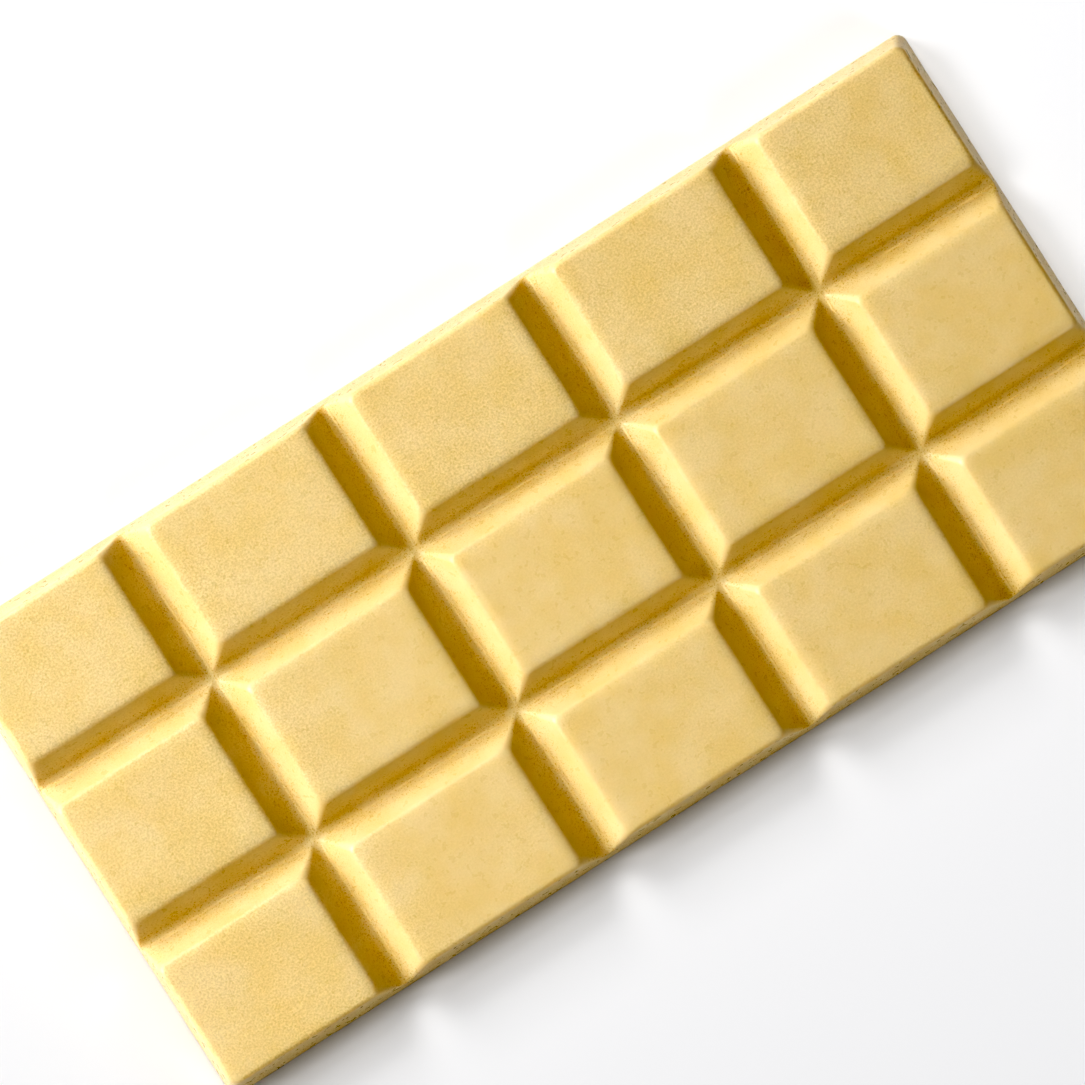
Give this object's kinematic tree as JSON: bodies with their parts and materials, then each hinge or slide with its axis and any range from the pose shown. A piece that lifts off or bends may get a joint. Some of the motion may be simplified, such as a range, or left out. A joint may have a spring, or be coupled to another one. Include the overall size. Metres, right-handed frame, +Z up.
{
  "type": "chocolate bar",
  "caption": "White chocolate bar: mitred rectangular pieces in columns and rows, parted by V grooves, on one slab with leaning sides and a flat back.",
  "frame": {"origin": "centre of the flat back, on the surface that the bar rests on", "axes": "+X along the bar's length, +Y across its width, +Z up out of the moulded face"},
  "size_m": [0.16, 0.0764, 0.0076],
  "materials": {
    "white_chocolate": "ivory white chocolate with a soft waxy sheen, a very fine grain on the tops and smooth, slightly glossier groove walls"
  },
  "bodies": {
    "root": {"chocolate_bar": "white_chocolate"}
  },
  "joints": []
}
